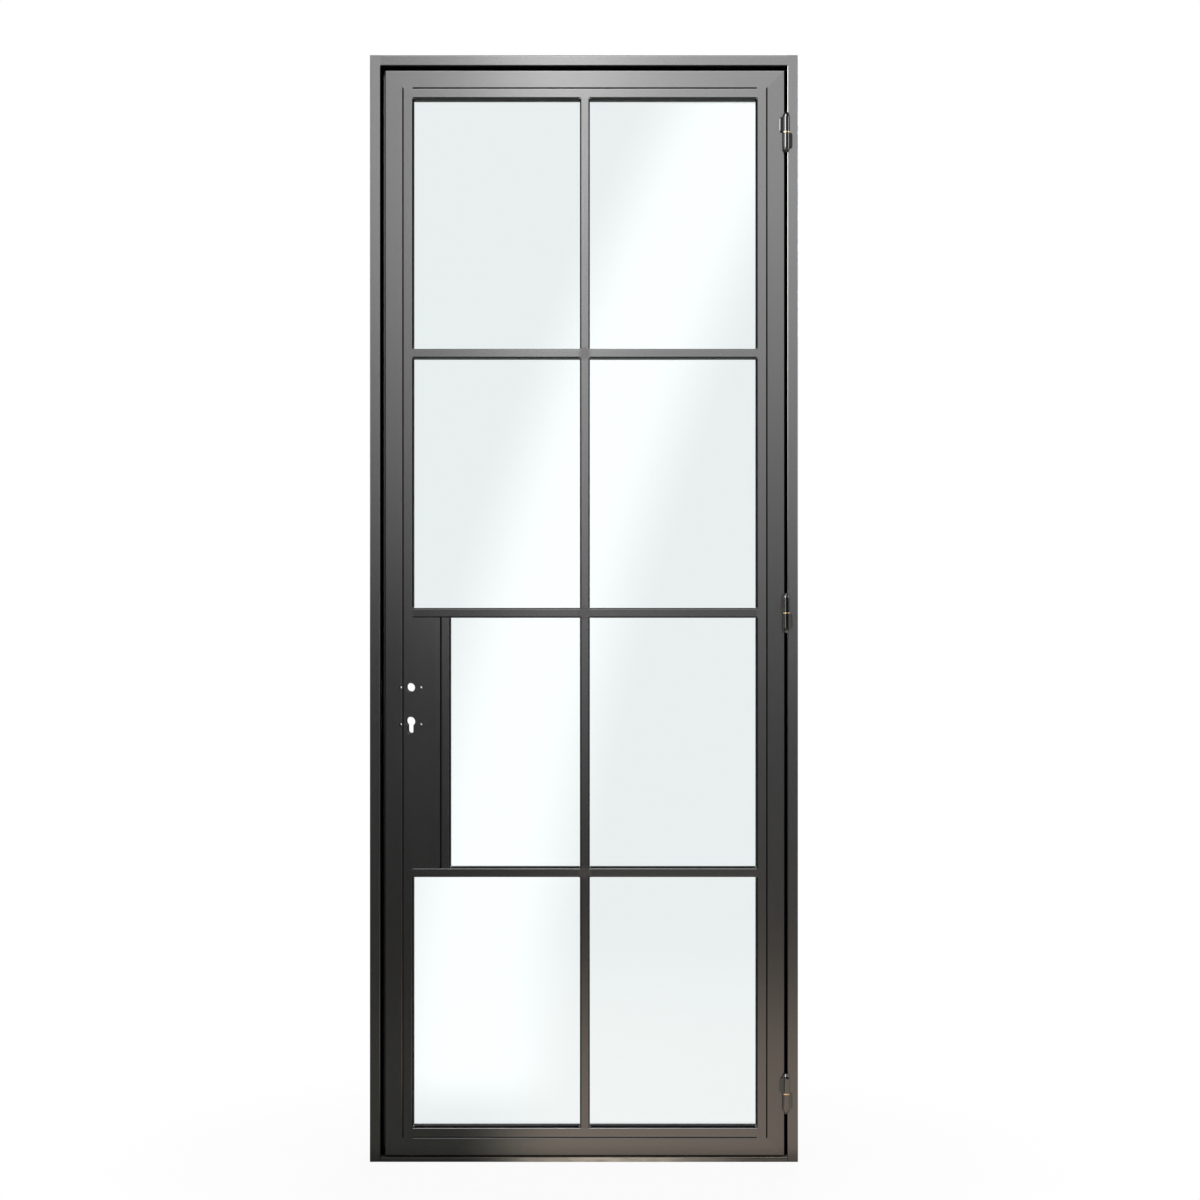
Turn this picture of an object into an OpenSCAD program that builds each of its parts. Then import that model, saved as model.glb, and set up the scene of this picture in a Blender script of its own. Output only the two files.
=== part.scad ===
// Single glazed steel door: a tube leaf with eight lites, hung in a welded tube frame.
// Origin: centre of the threshold's underside, at the middle of the frame's depth.
// X runs along the wall, lock side negative. Y runs into the wall; the hinge face is at -Y.

/* [Door unit] */
// Width over the frame
unit_w = 958; // [850:1:1150]
// Height over the frame, from the floor
unit_h = 2476; // [2150:1:2750]

/* [Frame] */
// Width of the jamb and head tubes, seen from the front
frame_face = 24; // [20:1:40]
// Depth of the frame through the wall
frame_depth = 100; // [95:1:160]
// Wall of the frame tubes
frame_wall = 2.5; // [1.5:0.5:4]
// Height of the threshold bar
sill_h = 10; // [6:1:20]
// Radius of the threshold's upper edges
sill_edge = 3; // [1:0.5:5]
// How far the stop tubes stand into the opening
stop_w = 20; // [16:1:30]
// Depth of the stop tubes
stop_depth = 25; // [15:1:30]
// Wall of the stop tubes
stop_wall = 2; // [1:0.5:3]
// Room between the leaf and the stops, for the weather seal
seal_room = 7; // [6:0.5:10]
// Width of the weather seal
seal_w = 9; // [7:0.5:10]
// Thickness of the weather seal's foot
seal_foot = 2.4; // [1.6:0.2:4]
// Gap between the weather seal and the closed leaf
seal_gap = 0.3; // [0.2:0.1:1]
// Radius of the wall fixing holes
fix_r = 4.25; // [3:0.25:6]
// Distance of the wall fixing holes from the frame's back
fix_back = 9; // [7:0.5:14]
// Height of the lowest wall fixing hole, and of the highest below the top
fix_end = 220; // [150:5:300]

/* [Leaf] */
// Thickness of the leaf
leaf_t = 50; // [45:1:60]
// Width of the outer tubes, seen from the front
tube_face = 40; // [36:1:60]
// Wall of the outer tubes
tube_wall = 2; // [1.5:0.25:3]
// Corner radius of the tubes
tube_edge = 2.5; // [0.8:0.1:2.8]
// Gap between the leaf and the lock side jamb
gap_lock = 10; // [6:0.5:12]
// Gap between the leaf and the hinge side jamb
gap_hinge = 6; // [5:0.5:8]
// Gap between the leaf and the head
gap_top = 10; // [4:0.5:12]
// Gap between the leaf and the threshold
gap_sill = 4; // [3:0.5:8]

/* [Glazing] */
// Width of the glazing tubes along the outer tubes
edge_bar = 22; // [20:1:30]
// Width of the muntin tubes
muntin = 20; // [20:1:30]
// Depth of the glazing and muntin tubes
bar_depth = 30; // [22:1:32]
// Wall of the glazing and muntin tubes
bar_wall = 1.5; // [1:0.25:2]
// Thickness of the glass
glass_t = 6; // [4:0.5:8]
// Thickness of the glazing tape, on each side of the glass
tape_t = 2; // [1:0.5:3]
// How far the glass reaches behind the tubes
glass_cover = 7; // [5:0.5:7]
// How far the glazing tape stays back from the edge of the lite
tape_inset = 1; // [0.5:0.5:2]
// Edge chamfer of the glazing beads
bead_edge = 0.8; // [0.4:0.1:1.2]
// Shank radius of the bead screws
screw_r = 2; // [1.5:0.1:2.2]
// Head radius of the bead screws
screw_head_r = 4; // [3:0.1:4.5]
// Length of the bead screws past the front of the beads
screw_reach = 16; // [13:1:20]

/* [Lock box] */
// Width of the lock box plates
lock_w = 85; // [80:1:110]
// Thickness of the lock box plates
lock_plate_t = 4; // [3:0.5:6]
// Seam left round the lock box plates
lock_seam = 2; // [0.6:0.2:2.4]
// Height of the handle spindle above the floor
spindle_h = 1061; // [950:1:1100]
// Distance of the spindle from the leaf's edge
backset = 57; // [55:0.5:60]
// Radius of the spindle hole
spindle_r = 10; // [8:0.5:11]
// Distance of the screw holes on each side of the spindle and keyhole
rose_half = 22.5; // [22:0.5:24]
// Radius of those screw holes
rose_hole_r = 3.25; // [2:0.25:3.5]
// Distance from the spindle down to the centre of the keyhole's round part
key_drop = 76; // [68:1:92]
// Drop of the keyhole's screw holes below that centre
key_rose_drop = 7; // [0:0.5:10]
// Radius of the keyhole's round part
key_r = 10.5; // [9:0.5:12]
// Width of the keyhole's lower part
key_slot_w = 13; // [10:0.5:14]
// Height of the whole keyhole
key_h = 38; // [33:1:42]
// Width of the lock mortise in the leaf's edge
mortise_w = 20; // [16:1:24]
// Reach of the lock mortise above the spindle and below the keyhole
mortise_reach = 45; // [30:1:60]
// Height of the strike cut-outs in the jamb
strike_h = 36; // [25:1:45]
// Width of the strike cut-outs in the jamb
strike_w = 16; // [12:1:20]

/* [Hinges] */
// Radius of the hinge barrels
hinge_r = 8; // [7:0.5:10]
// Length of each barrel half
hinge_half = 43; // [38:1:50]
// Length of a barrel's tapered end
hinge_taper = 10; // [6:1:14]
// Radius of a barrel's tip
hinge_tip_r = 4.5; // [3:0.5:5]
// How far a hinge's welding tail reaches from its axis
hinge_tail = 13; // [12.5:0.5:16]
// Thickness of the welding tail at its end
hinge_tail_t = 3; // [2:0.5:5]
// Radius of the hinge pins
pin_r = 5; // [4:0.25:5.5]
// Reach of a pin into each half
pin_reach = 28; // [20:1:30]
// Running clearance round a pin
pin_clear = 0.05; // [0.02:0.01:0.1]
// Free depth above a pin's end
pin_end_gap = 0.8; // [0.5:0.1:2]
// Thickness of the bearing washers
washer_t = 2.4; // [1.5:0.1:4]
// How far a washer stands out past its barrel
washer_lip = 0.4; // [0.2:0.1:0.5]
// Distance of the end hinges' washers from the leaf's top and bottom
hinge_end = 140; // [110:1:220]

/* [Hidden] */
$fn = 64;
// Chords in each rounded tube corner
arc_steps = 4;
// Overrun of a cutting shape past the face it cuts
over = 1;
// How full a hinge's tip is half way along its taper, from its tip radius to its barrel radius
tip_bulge = 0.72;
// How far a welding tail's flank starts inside its barrel
tail_sink = 0.12;
// Places of the bead screws along each lite's side, as shares of its length
screw_parts = [0.25, 0.75];

LITE_ROWS = [1, 2, 3, 4];
MUNTIN_ROWS = [1, 2, 3];
MUNTIN_NAMES = ["upper", "middle", "lower"];
SIDES = ["left", "right"];
HINGES = ["bottom", "middle", "top"];
LOCK_ROW = 3;

function muntin_node(row, side) = str("muntin_", MUNTIN_NAMES[row - 1], "_", side);
function muntin_bead_node(row) = str("bead_muntin_", MUNTIN_NAMES[row - 1]);
function pane_node(row, side) = str("pane_", row, "_", side);

PAINT = "#2e2e30";
RUBBER = "#161617";
GLASS = "#dfe8e8";
BRASS = "#b5793f";
STEEL = "#8d8f92";

// Frame planes
frame_l = -unit_w / 2;
frame_r = unit_w / 2;
front = -frame_depth / 2;
back = frame_depth / 2;
open_l = frame_l + frame_face;
open_r = frame_r - frame_face;
open_t = unit_h - frame_face;
stop_front = front + leaf_t + seal_room;
fix_y = back - fix_back;
fix_step = (unit_h - 2 * fix_end) / 3;
fix_heights = [for (i = [0:3]) fix_end + i * fix_step];

// Leaf planes
leaf_l = open_l + gap_lock;
leaf_r = open_r - gap_hinge;
leaf_b = sill_h + gap_sill;
leaf_top = open_t - gap_top;
leaf_back = front + leaf_t;
leaf_mid = front + leaf_t / 2;
in_l = leaf_l + tube_face;
in_r = leaf_r - tube_face;
in_b = leaf_b + tube_face;
in_t = leaf_top - tube_face;

// Lites, rows counted from the top
lite_l = in_l + edge_bar;
lite_r = in_r - edge_bar;
lite_b = in_b + edge_bar;
lite_t = in_t - edge_bar;
lite_w = (lite_r - lite_l - muntin) / 2;
lite_h = (lite_t - lite_b - 3 * muntin) / 4;
mid_x = lite_l + lite_w;
lock_bar_x = in_l + lock_w;
function lite_z(row) = lite_t - row * lite_h - (row - 1) * muntin;
function muntin_z(row) = lite_z(row) - muntin;
function lite_x0(row, side) =
  side == "right" ? mid_x + muntin : row == LOCK_ROW ? lock_bar_x + muntin : lite_l;
function lite_x1(side) = side == "right" ? lite_r : mid_x;
function muntin_x0(side) = side == "right" ? mid_x + muntin : lite_l;
lock_b = lite_z(LOCK_ROW);
lock_t = lock_b + lite_h;

// Layers through the leaf
tape_front_y = front + bar_depth;
glass_y = tape_front_y + tape_t;
tape_back_y = glass_y + glass_t;
bead_y = tape_back_y + tape_t;
bead_depth = leaf_back - bead_y;

// Lock places
spindle_x = leaf_l + backset;
key_z = spindle_h - key_drop;
rose_heights = [spindle_h, key_z - key_rose_drop];
mortise_b = key_z - mortise_reach;
mortise_t = spindle_h + mortise_reach;

// Hinge places
hinge_x = (leaf_r + open_r) / 2;
hinge_y = front - hinge_r;
hinge_low = leaf_b + hinge_end;
hinge_step = (leaf_top - leaf_b - 2 * hinge_end) / 2;
function hinge_z(i) = hinge_low + i * hinge_step;

// Outline of a box section with rounded corners, from the origin
function corner(cx, cy, r, start) = [
  for (i = [0:arc_steps])
    let (angle = start + 90 * i / arc_steps) [cx + r * cos(angle), cy + r * sin(angle)]
];
function section(w, d, r) = concat(
  corner(w - r, d - r, r, 0),
  corner(r, d - r, r, 90),
  corner(r, r, r, 180),
  corner(w - r, r, r, 270)
);

// Upright tube: its low corner at the origin, w along X, d along Y
module tube_up(w, d, wall, len, capped = false) {
  hollow = capped ? len - wall + over : len + 2 * over;
  difference() {
    linear_extrude(len) polygon(section(w, d, tube_edge));
    translate([wall, wall, -over]) cube([w - 2 * wall, d - 2 * wall, hollow]);
  }
}

// Level tube: its low corner at the origin, length along X, d along Y, h along Z
module tube_level(h, d, wall, len) {
  rotate([90, 0, 90]) tube_up(d, h, wall, len);
}

// Flush weld on the front of a tube, which squares its rounded edge for the width of a joint
module weld_up(x, z, len) {
  translate([x, front, z]) cube([tube_edge, tube_edge, len]);
}

module weld_level(x, z, len) {
  translate([x, front, z]) cube([len, tube_edge, tube_edge]);
}

// Slab that keeps the part of an outer tube inside its mitres; outline in X and Z
module mitre_slab(points) {
  translate([0, leaf_back + over, 0]) rotate([90, 0, 0]) linear_extrude(leaf_t + 2 * over) polygon(points);
}

module drill_y(x, z, r) {
  translate([x, front - over, z]) rotate([-90, 0, 0]) cylinder(r = r, h = leaf_t + 2 * over);
}

module drill_x(x, y, z, r, len) {
  translate([x, y, z]) rotate([0, 90, 0]) cylinder(r = r, h = len);
}

// Frame
module wall_holes(x) {
  for (z = fix_heights) drill_x(x - over, fix_y, z, fix_r, frame_face + 2 * over);
}

module strike_cuts() {
  for (z = [spindle_h, key_z])
    translate([open_l - frame_wall - over, leaf_mid - strike_w / 2, z - strike_h / 2])
      cube([frame_wall + 2 * over, strike_w, strike_h]);
}

// Jamb with its front edge welded flush to the head
module jamb(x, weld_x) {
  translate([x, front, 0]) tube_up(frame_face, frame_depth, frame_wall, unit_h, capped = true);
  weld_up(weld_x, open_t, frame_face);
}

module jamb_lock_side() {
  color(PAINT) difference() {
    jamb(frame_l, open_l - tube_edge);
    wall_holes(frame_l);
    strike_cuts();
  }
}

module jamb_hinge_side() {
  color(PAINT) difference() {
    jamb(open_r, open_r);
    wall_holes(open_r);
  }
}

module frame_head() {
  color(PAINT) translate([open_l, front, open_t])
    tube_level(frame_face, frame_depth, frame_wall, open_r - open_l);
}

module threshold() {
  outline = concat(
    [[0, 0], [frame_depth, 0]],
    corner(frame_depth - sill_edge, sill_h - sill_edge, sill_edge, 0),
    corner(sill_edge, sill_h - sill_edge, sill_edge, 90)
  );
  color(PAINT) translate([open_l, front, 0])
    rotate([90, 0, 90]) linear_extrude(open_r - open_l) polygon(outline);
}

module stop_side(x) {
  color(PAINT) translate([x, stop_front, sill_h]) tube_up(stop_w, stop_depth, stop_wall, open_t - sill_h);
}

module stop_head() {
  color(PAINT) translate([open_l + stop_w, stop_front, open_t - stop_w])
    tube_level(stop_w, stop_depth, stop_wall, open_r - open_l - 2 * stop_w);
}

// Foot and bulb of the seal, the foot on the line y = 0 and the bulb towards -Y
module seal_profile() {
  bulb = seal_room - seal_gap - seal_foot;
  translate([-seal_w / 2, -seal_foot]) square([seal_w, seal_foot]);
  translate([0, -seal_foot]) intersection() {
    circle(r = bulb);
    translate([-bulb, -bulb]) square([2 * bulb, bulb + seal_foot / 2]);
  }
}

module weather_seal() {
  seal_l = open_l + stop_w / 2;
  seal_r = open_r - stop_w / 2;
  seal_t = open_t - stop_w / 2;
  color(RUBBER) union() {
    for (x = [seal_l, seal_r])
      translate([x, stop_front, sill_h]) linear_extrude(open_t - sill_h) seal_profile();
    translate([seal_l, stop_front, seal_t]) rotate([90, 0, 90]) linear_extrude(seal_r - seal_l)
      rotate(-90) seal_profile();
  }
}

// Hinges
// Outline of a barrel and its bullet tip, turned about Z; from the washer up
module barrel() {
  shoulder = hinge_half - hinge_taper;
  middle_r = hinge_tip_r + tip_bulge * (hinge_r - hinge_tip_r);
  rotate_extrude() polygon([
    [0, 0], [hinge_r, 0], [hinge_r, shoulder], [middle_r, shoulder + hinge_taper / 2],
    [hinge_tip_r, hinge_half], [0, hinge_half]
  ]);
}

// Welding tail: from the barrel out to hinge_tail along -X, its back flat on the door's face
module tail() {
  reach = norm([hinge_tail, hinge_r - hinge_tail_t]);
  touch = atan2(hinge_r - hinge_tail_t, hinge_tail) - acos(hinge_r / reach);
  start_r = hinge_r - tail_sink;
  linear_extrude(hinge_half - hinge_taper) polygon([
    [0, 0], [-start_r * cos(touch), start_r * sin(touch)], [-hinge_tail, hinge_r - hinge_tail_t],
    [-hinge_tail, hinge_r], [-gap_hinge / 2, hinge_r], [0, hinge_r / 2]
  ]);
}

// One half of a hinge from the washer up, with a blind bore for the pin
module hinge_half_up(bore_r, bore_depth) {
  difference() {
    union() {
      barrel();
      tail();
    }
    translate([0, 0, -over]) cylinder(r = bore_r, h = bore_depth + over);
  }
}

module hinge_leaf_half(i) {
  color(PAINT) translate([hinge_x, hinge_y, hinge_z(i) + washer_t / 2])
    hinge_half_up(pin_r + pin_clear, pin_reach + pin_end_gap);
}

module hinge_frame_half(i) {
  color(PAINT) translate([hinge_x, hinge_y, hinge_z(i) - washer_t / 2]) mirror([0, 0, 1]) mirror([1, 0, 0])
    hinge_half_up(pin_r, pin_reach);
}

module hinge_pin(i) {
  color(STEEL) translate([hinge_x, hinge_y, hinge_z(i) - washer_t / 2 - pin_reach])
    cylinder(r = pin_r, h = 2 * pin_reach + washer_t);
}

module hinge_washer(i) {
  color(BRASS) translate([hinge_x, hinge_y, hinge_z(i) - washer_t / 2]) difference() {
    cylinder(r = hinge_r + washer_lip, h = washer_t);
    translate([0, 0, -over]) cylinder(r = pin_r + pin_clear, h = washer_t + 2 * over);
  }
}

// Outer tubes of the leaf, mitred at the corners
module stile_slab(x) {
  outer = x == leaf_l ? -over : tube_face + over;
  inner = tube_face - outer;
  mitre_slab([
    [x + outer, leaf_b - over], [x + inner, in_b + over],
    [x + inner, in_t - over], [x + outer, leaf_top + over]
  ]);
}

module stile(x) {
  intersection() {
    translate([x, front, leaf_b]) tube_up(tube_face, leaf_t, tube_wall, leaf_top - leaf_b);
    stile_slab(x);
  }
}

module stile_lock_side() {
  color(PAINT) difference() {
    stile(leaf_l);
    for (z = rose_heights) drill_y(spindle_x - rose_half, z, rose_hole_r);
    translate([leaf_l - over, leaf_mid - mortise_w / 2, mortise_b])
      cube([tube_face + 2 * over, mortise_w, mortise_t - mortise_b]);
  }
}

module stile_hinge_side() {
  color(PAINT) stile(in_r);
}

module rail(z, weld_z) {
  out_z = z == leaf_b ? z - over : z + tube_face + over;
  inner_z = z == leaf_b ? in_b + over : in_t - over;
  union() {
    intersection() {
      translate([leaf_l, front, z]) tube_level(tube_face, leaf_t, tube_wall, leaf_r - leaf_l);
      mitre_slab([
        [leaf_l - over, out_z], [leaf_r + over, out_z],
        [in_r - over, inner_z], [in_l + over, inner_z]
      ]);
    }
    for (x = [in_l, lite_r]) weld_level(x, weld_z, edge_bar);
  }
}

module rail_top() {
  color(PAINT) rail(in_t, in_t);
}

module rail_bottom() {
  color(PAINT) rail(leaf_b, in_b - tube_edge);
}

// Hole in a glazing tube's back wall that a bead screw bites into
module screw_hole(place) {
  translate([place[0], tape_front_y - bar_wall - over, place[1]])
    rotate([-90, 0, 0]) cylinder(r = screw_r, h = bar_wall + 2 * over);
}

// Screw places along one upright or level bar, two to each lite
function upright_screws(x, rows) =
  [for (row = rows, part = screw_parts) [x, lite_z(row) + part * lite_h]];
function level_screws(z, side) =
  [for (part = screw_parts) [muntin_x0(side) + part * lite_w, z]];

hinge_side_screws = upright_screws(lite_r + edge_bar / 2, LITE_ROWS);
lock_upper_screws = upright_screws(in_l + edge_bar / 2, [1, 2]);
lock_lower_screws = upright_screws(in_l + edge_bar / 2, [4]);
lock_box_screws = upright_screws(lock_bar_x + muntin / 2, [LOCK_ROW]);
mid_screws = upright_screws(mid_x + muntin / 2, LITE_ROWS);
top_screws = [for (side = SIDES) each level_screws(lite_t + edge_bar / 2, side)];
bottom_screws = [for (side = SIDES) each level_screws(in_b + edge_bar / 2, side)];
function muntin_screws(row, side) = level_screws(muntin_z(row) + muntin / 2, side);
all_screws = concat(
  hinge_side_screws, lock_upper_screws, lock_lower_screws, lock_box_screws,
  mid_screws, top_screws, bottom_screws,
  [for (row = MUNTIN_ROWS, side = SIDES) each muntin_screws(row, side)]
);

// Glazing and muntin tubes
module upright_bar(x, w, z0, z1, screws, weld_x, weld_heights) {
  color(PAINT) difference() {
    union() {
      translate([x, front, z0]) tube_up(w, bar_depth, bar_wall, z1 - z0);
      for (wx = weld_x, span = weld_heights) weld_up(wx, span[0], span[1]);
    }
    for (place = screws) screw_hole(place);
  }
}

module level_bar(x0, x1, z, h, screws, weld_z = []) {
  color(PAINT) difference() {
    union() {
      translate([x0, front, z]) tube_level(h, bar_depth, bar_wall, x1 - x0);
      for (wz = weld_z) weld_level(mid_x, wz, muntin);
    }
    for (place = screws) screw_hole(place);
  }
}

// Spans in Z where other tubes are welded to the side of an upright one
function muntin_spans(rows) = [for (row = rows) [muntin_z(row), muntin]];
top_span = [lite_t, edge_bar];
bottom_span = [in_b, edge_bar];

module glazing_tube_top() {
  level_bar(lite_l, lite_r, lite_t, edge_bar, top_screws, [lite_t]);
}

module glazing_tube_bottom() {
  level_bar(lite_l, lite_r, in_b, edge_bar, bottom_screws, [lite_b - tube_edge]);
}

module glazing_tube_hinge_side() {
  upright_bar(lite_r, edge_bar, in_b, in_t, hinge_side_screws, [lite_r],
    concat([top_span, bottom_span], muntin_spans(MUNTIN_ROWS)));
}

module glazing_tube_lock_upper() {
  upright_bar(in_l, edge_bar, lock_t, in_t, lock_upper_screws, [lite_l - tube_edge],
    concat([top_span], muntin_spans([1, 2])));
}

module glazing_tube_lock_lower() {
  upright_bar(in_l, edge_bar, in_b, lock_b, lock_lower_screws, [lite_l - tube_edge],
    concat([bottom_span], muntin_spans([3])));
}

module lock_box_tube() {
  upright_bar(lock_bar_x, muntin, lock_b, lock_t, lock_box_screws, [], []);
}

module muntin_vertical() {
  upright_bar(mid_x, muntin, lite_b, lite_t, mid_screws, [mid_x, mid_x + muntin - tube_edge],
    muntin_spans(MUNTIN_ROWS));
}

module muntin_level(row, side) {
  level_bar(muntin_x0(side), lite_x1(side), muntin_z(row), muntin, muntin_screws(row, side));
}

// Lock box plates
module keyhole() {
  slot_r = key_slot_w / 2;
  foot_z = key_z + key_r - key_h + slot_r;
  drill_y(spindle_x, key_z, key_r);
  drill_y(spindle_x, foot_z, slot_r);
  translate([spindle_x - slot_r, front - over, foot_z])
    cube([key_slot_w, leaf_t + 2 * over, key_z - foot_z]);
}

module lock_holes() {
  drill_y(spindle_x, spindle_h, spindle_r);
  keyhole();
  for (z = rose_heights) drill_y(spindle_x + rose_half, z, rose_hole_r);
}

// Plate with its seam bevelled on three edges of the side at y = 0
module lock_plate() {
  w = lock_bar_x - in_l;
  h = lock_t - lock_b;
  difference() {
    linear_extrude(h) polygon([
      [lock_seam, 0], [w - lock_seam, 0], [w, lock_seam],
      [w, lock_plate_t], [0, lock_plate_t], [0, lock_seam]
    ]);
    translate([-over, 0, h - lock_seam]) rotate([45, 0, 0])
      translate([0, -w, 0]) cube([w + 2 * over, w, w]);
  }
}

module lock_plate_front() {
  color(PAINT) difference() {
    translate([in_l, front, lock_b]) lock_plate();
    lock_holes();
  }
}

module lock_plate_back() {
  color(PAINT) difference() {
    translate([in_l, leaf_back, lock_b]) mirror([0, 1, 0]) lock_plate();
    lock_holes();
  }
}

// Glass and its tape
module lite_slab(row, side, y, t, spread) {
  x0 = lite_x0(row, side) - spread;
  x1 = lite_x1(side) + spread;
  translate([x0, y, lite_z(row) - spread]) cube([x1 - x0, t, lite_h + 2 * spread]);
}

module pane(row, side) {
  color(GLASS) lite_slab(row, side, glass_y, glass_t, glass_cover);
}

module glazing_tape(y) {
  color(RUBBER) for (row = LITE_ROWS, side = SIDES) difference() {
    lite_slab(row, side, y, tape_t, glass_cover);
    lite_slab(row, side, y - over, tape_t + 2 * over, tape_inset);
  }
}

// Glazing beads on the back of the leaf
module bead_outline(w) {
  polygon([
    [0, 0], [w, 0], [w, bead_depth - bead_edge], [w - bead_edge, bead_depth],
    [bead_edge, bead_depth], [0, bead_depth - bead_edge]
  ]);
}

// Countersunk screw, its head flush with the beads' back and its shank towards -Y
module screw(place) {
  head_h = screw_head_r - screw_r;
  translate([place[0], leaf_back, place[1]]) rotate([90, 0, 0]) union() {
    cylinder(r1 = screw_head_r, r2 = screw_r, h = head_h);
    translate([0, 0, head_h]) cylinder(r = screw_r, h = bead_depth + screw_reach - head_h);
  }
}

module upright_bead(x, w, z0, z1, screws) {
  difference() {
    translate([x, bead_y, z0]) linear_extrude(z1 - z0) bead_outline(w);
    for (place = screws) screw(place);
  }
}

module level_bead(x0, x1, z, h, screws) {
  difference() {
    translate([x0, bead_y, z + h]) rotate([0, 90, 0]) linear_extrude(x1 - x0) bead_outline(h);
    for (place = screws) screw(place);
  }
}

module bead_top() {
  color(PAINT) level_bead(lite_l, lite_r, lite_t, edge_bar, top_screws);
}

module bead_bottom() {
  color(PAINT) level_bead(lite_l, lite_r, in_b, edge_bar, bottom_screws);
}

module bead_hinge_side() {
  color(PAINT) upright_bead(lite_r, edge_bar, in_b, in_t, hinge_side_screws);
}

module bead_lock_side() {
  color(PAINT) {
    upright_bead(in_l, edge_bar, lock_t, in_t, lock_upper_screws);
    upright_bead(in_l, edge_bar, in_b, lock_b, lock_lower_screws);
  }
}

module bead_lock_box() {
  color(PAINT) upright_bead(lock_bar_x, muntin, lock_b, lock_t, lock_box_screws);
}

module bead_muntin_vertical() {
  color(PAINT) upright_bead(mid_x, muntin, lite_b, lite_t, mid_screws);
}

module bead_muntin(row) {
  color(PAINT) for (side = SIDES)
    level_bead(muntin_x0(side), lite_x1(side), muntin_z(row), muntin, muntin_screws(row, side));
}

module bead_screws() {
  color(STEEL) for (place = all_screws) screw(place);
}

jamb_lock_side();
jamb_hinge_side();
frame_head();
threshold();
stop_side(open_l);  // stop_lock_side
stop_side(open_r - stop_w);  // stop_hinge_side
stop_head();
weather_seal();
for (i = [0:2]) {
  hinge_frame_half(i);
  hinge_pin(i);
  hinge_washer(i);
  hinge_leaf_half(i);
}
stile_lock_side();
stile_hinge_side();
rail_top();
rail_bottom();
glazing_tube_top();
glazing_tube_bottom();
glazing_tube_hinge_side();
glazing_tube_lock_upper();
glazing_tube_lock_lower();
lock_box_tube();
lock_plate_front();
lock_plate_back();
muntin_vertical();
for (row = MUNTIN_ROWS) {
  for (side = SIDES)
    muntin_level(row, side);
  bead_muntin(row);
}
for (row = LITE_ROWS, side = SIDES)
  pane(row, side);
glazing_tape(tape_front_y);  // glazing_tape_front
glazing_tape(tape_back_y);  // glazing_tape_back
bead_top();
bead_bottom();
bead_hinge_side();
bead_lock_side();
bead_lock_box();
bead_muntin_vertical();
bead_screws();
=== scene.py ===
"""Dresses the steel door: paint, glass, seals, weld beads, studio light and the camera.

All sizes are in metres.
"""

import math

import bmesh
import bpy
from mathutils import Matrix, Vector


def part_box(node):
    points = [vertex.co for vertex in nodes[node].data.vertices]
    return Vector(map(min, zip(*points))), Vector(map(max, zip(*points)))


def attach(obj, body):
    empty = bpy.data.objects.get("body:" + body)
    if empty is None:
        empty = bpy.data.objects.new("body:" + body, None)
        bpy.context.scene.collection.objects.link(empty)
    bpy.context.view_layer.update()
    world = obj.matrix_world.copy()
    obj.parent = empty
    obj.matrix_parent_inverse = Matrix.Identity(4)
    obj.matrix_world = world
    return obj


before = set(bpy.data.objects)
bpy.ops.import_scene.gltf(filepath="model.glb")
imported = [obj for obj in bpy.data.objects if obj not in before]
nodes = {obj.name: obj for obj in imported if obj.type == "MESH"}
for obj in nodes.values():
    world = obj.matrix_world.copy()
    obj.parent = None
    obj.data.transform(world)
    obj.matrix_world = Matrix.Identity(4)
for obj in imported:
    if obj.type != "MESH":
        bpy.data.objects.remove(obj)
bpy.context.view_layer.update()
scene = bpy.context.scene
MM = 0.001

# Names that repeat along the door
HINGES = ("bottom", "middle", "top")
SIDES = ("left", "right")
ROWS = (1, 2, 3, 4)

# Places that come from the frame
front_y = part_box("jamb_lock_side")[0].y
unit_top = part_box("frame_head")[1].z
unit_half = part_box("jamb_hinge_side")[1].x
crossing_x = sum(corner.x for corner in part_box("muntin_vertical")) / 2
crossing_heights = [sum(corner.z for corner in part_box(f"muntin_{name}_left")) / 2
                    for name in ("upper", "middle", "lower")]


# Node helpers

SOCKETS = {"base_color": "Base Color", "metallic": "Metallic", "roughness": "Roughness", "ior": "IOR",
           "specular": "Specular IOR Level", "transmission": "Transmission Weight", "normal": "Normal",
           "coat": "Coat Weight", "coat_roughness": "Coat Roughness"}
# Ranges in which an edge turns up or down, and in which a face comes to lie level
TURNING, LEVEL = (0.1, 0.6), (0.85, 0.97)
UNDER_SHEEN = 0.0012
# Depths below the frame's outside where its gloss starts and where it is full
OUTSIDE_FROM, OUTSIDE_FULL = 3 * MM, 1 * MM
# The share of its reach over which a spot keeps its full strength
SPOT_CORE = 0.35


def rgba(value):
    """A colour as four numbers, or the socket that it is."""
    if isinstance(value, bpy.types.NodeSocket):
        return value
    return (*value[:3], 1.0)


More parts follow.
